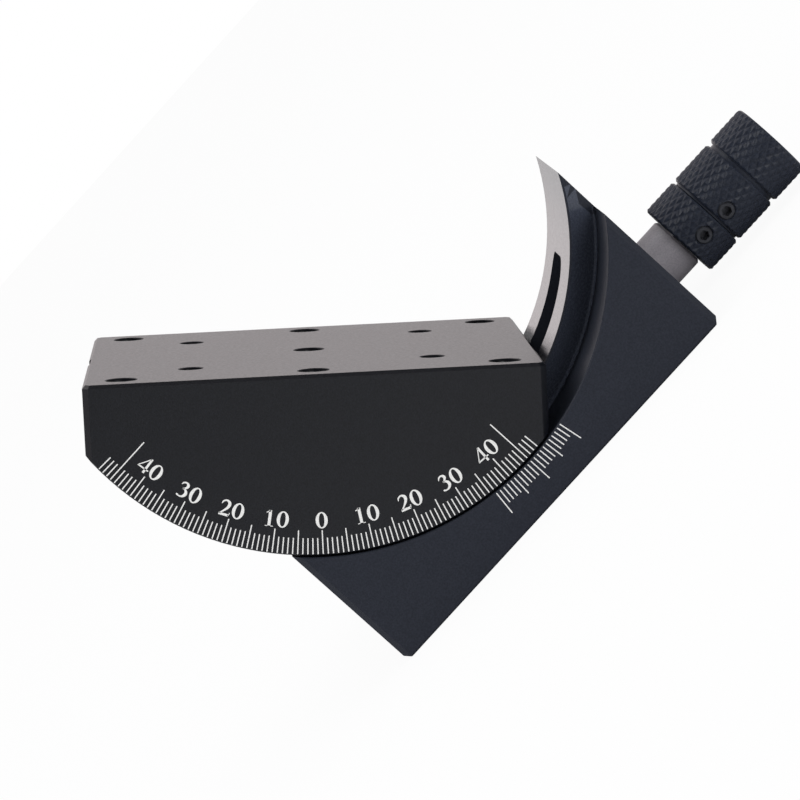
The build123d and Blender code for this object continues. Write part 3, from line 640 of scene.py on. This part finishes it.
def stroke_outline(stroke):
    """The outline of a pen stroke: a Catmull-Rom curve through its points, half its width to each side."""
    p = np.array(stroke, float)
    closed = len(p) > 2 and np.allclose(p[0], p[-1], atol=1e-6)
    if len(p) > 2:
        before = p[-2] if closed else 2 * p[0] - p[1]
        after = p[1] if closed else 2 * p[-1] - p[-2]
        q = np.vstack([before, p, after])
        t = np.linspace(0, 1, STROKE_STEPS, endpoint=False)[:, None]
        spans = [0.5 * (2 * b + (c - a) * t + (2 * a - 5 * b + 4 * c - d) * t**2 + (3 * b - a - 3 * c + d) * t**3)
                 for a, b, c, d in zip(q[:-3], q[1:-2], q[2:-1], q[3:])]
        p = np.vstack(spans + [p[-1:]])
    run = np.gradient(p[:, :2], axis=0)
    if closed:
        run[0] = run[-1] = p[1, :2] - p[-2, :2]
    side = np.stack([-run[:, 1], run[:, 0]], axis=1) / np.linalg.norm(run, axis=1)[:, None]
    left = p[:, :2] + side * p[:, 2:] / 2
    right = p[:, :2] - side * p[:, 2:] / 2
    return np.vstack([left, right[::-1]])


def number_outlines(number, angle):
    """The outlines of a number centred above the line at that angle, its feet towards the line."""
    text = str(number)
    found = []
    for k, figure in enumerate(text):
        shift = (k - (len(text) - 1) / 2) * FIGURE_PITCH
        for stroke in FIGURES[figure]:
            flat = stroke_outline(stroke) * FIGURE_HEIGHT
            found.append([radial(FIGURE_R - (v - FIGURE_HEIGHT / 2), angle, u + shift) for u, v in flat])
    return found


numbers = []
for degree in range(-40, 41, 10):
    numbers += number_outlines(abs(degree), degree - REST_TILT)
engraved("table_scale_numbers", numbers, "table")


# The threads in the tapped holes of the table's top and of the base's underside: M5 and M4, cut a little below
# the face. Each is a thin liner on the hole's wall, whose inner side runs up and down with the helix.
THREADS = {
    "large": {"hole_r": 2.1, "pitch": 0.8, "crest_r": 1.93, "length": 7.6},
    "small": {"hole_r": 1.65, "pitch": 0.7, "crest_r": 1.50, "length": 5.2},
}
THREAD_START = 0.35
THREAD_TURN_STEPS = 40
THREAD_ROW_STEPS = 6
LINER_GAP = 0.005
LARGE_SQUARE = 25.0
SMALL_SQUARE = 16.0
AXIS_TO_TABLE = 14.7


def thread_grid(hole_r, pitch, crest_r, length):
    """Points of a closed liner about the z axis, its open end at z = -THREAD_START, in mm.

    The inner wall's radius is crest + rise * |2 frac(-z / pitch - a / 2 pi) - 1|, a V thread of that pitch.
    """
    a = np.arange(THREAD_TURN_STEPS) / THREAD_TURN_STEPS * 2 * np.pi
    rows = int(length / pitch * THREAD_ROW_STEPS)
    z = -THREAD_START - np.linspace(0, length, rows)[:, None] * np.ones(THREAD_TURN_STEPS)
    phase = (-z / pitch - a / (2 * np.pi)) % 1.0
    wall = hole_r - LINER_GAP
    inner = crest_r + (wall - 0.02 - crest_r) * np.abs(2 * phase - 1)
    radius = np.vstack([inner, np.full((2, THREAD_TURN_STEPS), wall)])
    z = np.vstack([z, z[-1:], z[:1]])
    return np.stack([radius * np.cos(a), radius * np.sin(a), z], axis=-1)


def thread_mesh(name, places, turn):
    """One mesh of liners at (x, y, kind) places; turn takes level points in mm to the row frame."""
    verts, quads, first = [], [], 0
    for x, y, kind in places:
        grid = thread_grid(**THREADS[kind])
        rows, columns = grid.shape[:2]
        verts.append(turn(grid.reshape(-1, 3) + [x, y, 0]))
        r, c = np.meshgrid(np.arange(rows), np.arange(columns), indexing="ij")
        nxt, below = (c + 1) % columns, (r + 1) % rows
        upper = r * columns
        lower = below * columns
        q = np.stack([upper + c, lower + c, lower + nxt, upper + nxt], axis=-1)
        quads.append(q.reshape(-1, 4) + first)
        first += rows * columns
    mesh = bpy.data.meshes.new(name)
    mesh.from_pydata(np.vstack(verts) * MM, [], np.vstack(quads).tolist())
    return mesh


def onto_table(points):
    """Level points about the table's top face, turned with it to the rest tilt."""
    c, s = math.cos(math.radians(REST_TILT)), math.sin(math.radians(REST_TILT))
    x, y, z = points[:, 0], points[:, 1], points[:, 2] - AXIS_TO_TABLE
    return np.stack([x * c + z * s, y, AXIS_HEIGHT + z * c - x * s], axis=-1)


def under_base(points):
    """Level points turned over about the x axis, so that their holes open downwards at z = 0."""
    return points * [1, -1, -1]


corners = [(sx, sy) for sx in (-1, 1) for sy in (-1, 1)]
patterns = [(sx * LARGE_SQUARE, sy * LARGE_SQUARE, "large") for sx, sy in corners]
patterns += [(sx * SMALL_SQUARE, sy * SMALL_SQUARE, "small") for sx, sy in corners]
middles = [(0, sy * LARGE_SQUARE, "large") for sy in (-1, 0, 1)]
put("table_threads", thread_mesh("table_threads", patterns + middles, onto_table), BLACK_TABLE,
    "table")
put("base_threads", thread_mesh("base_threads", patterns, under_base), BLACK_BASE, "base")
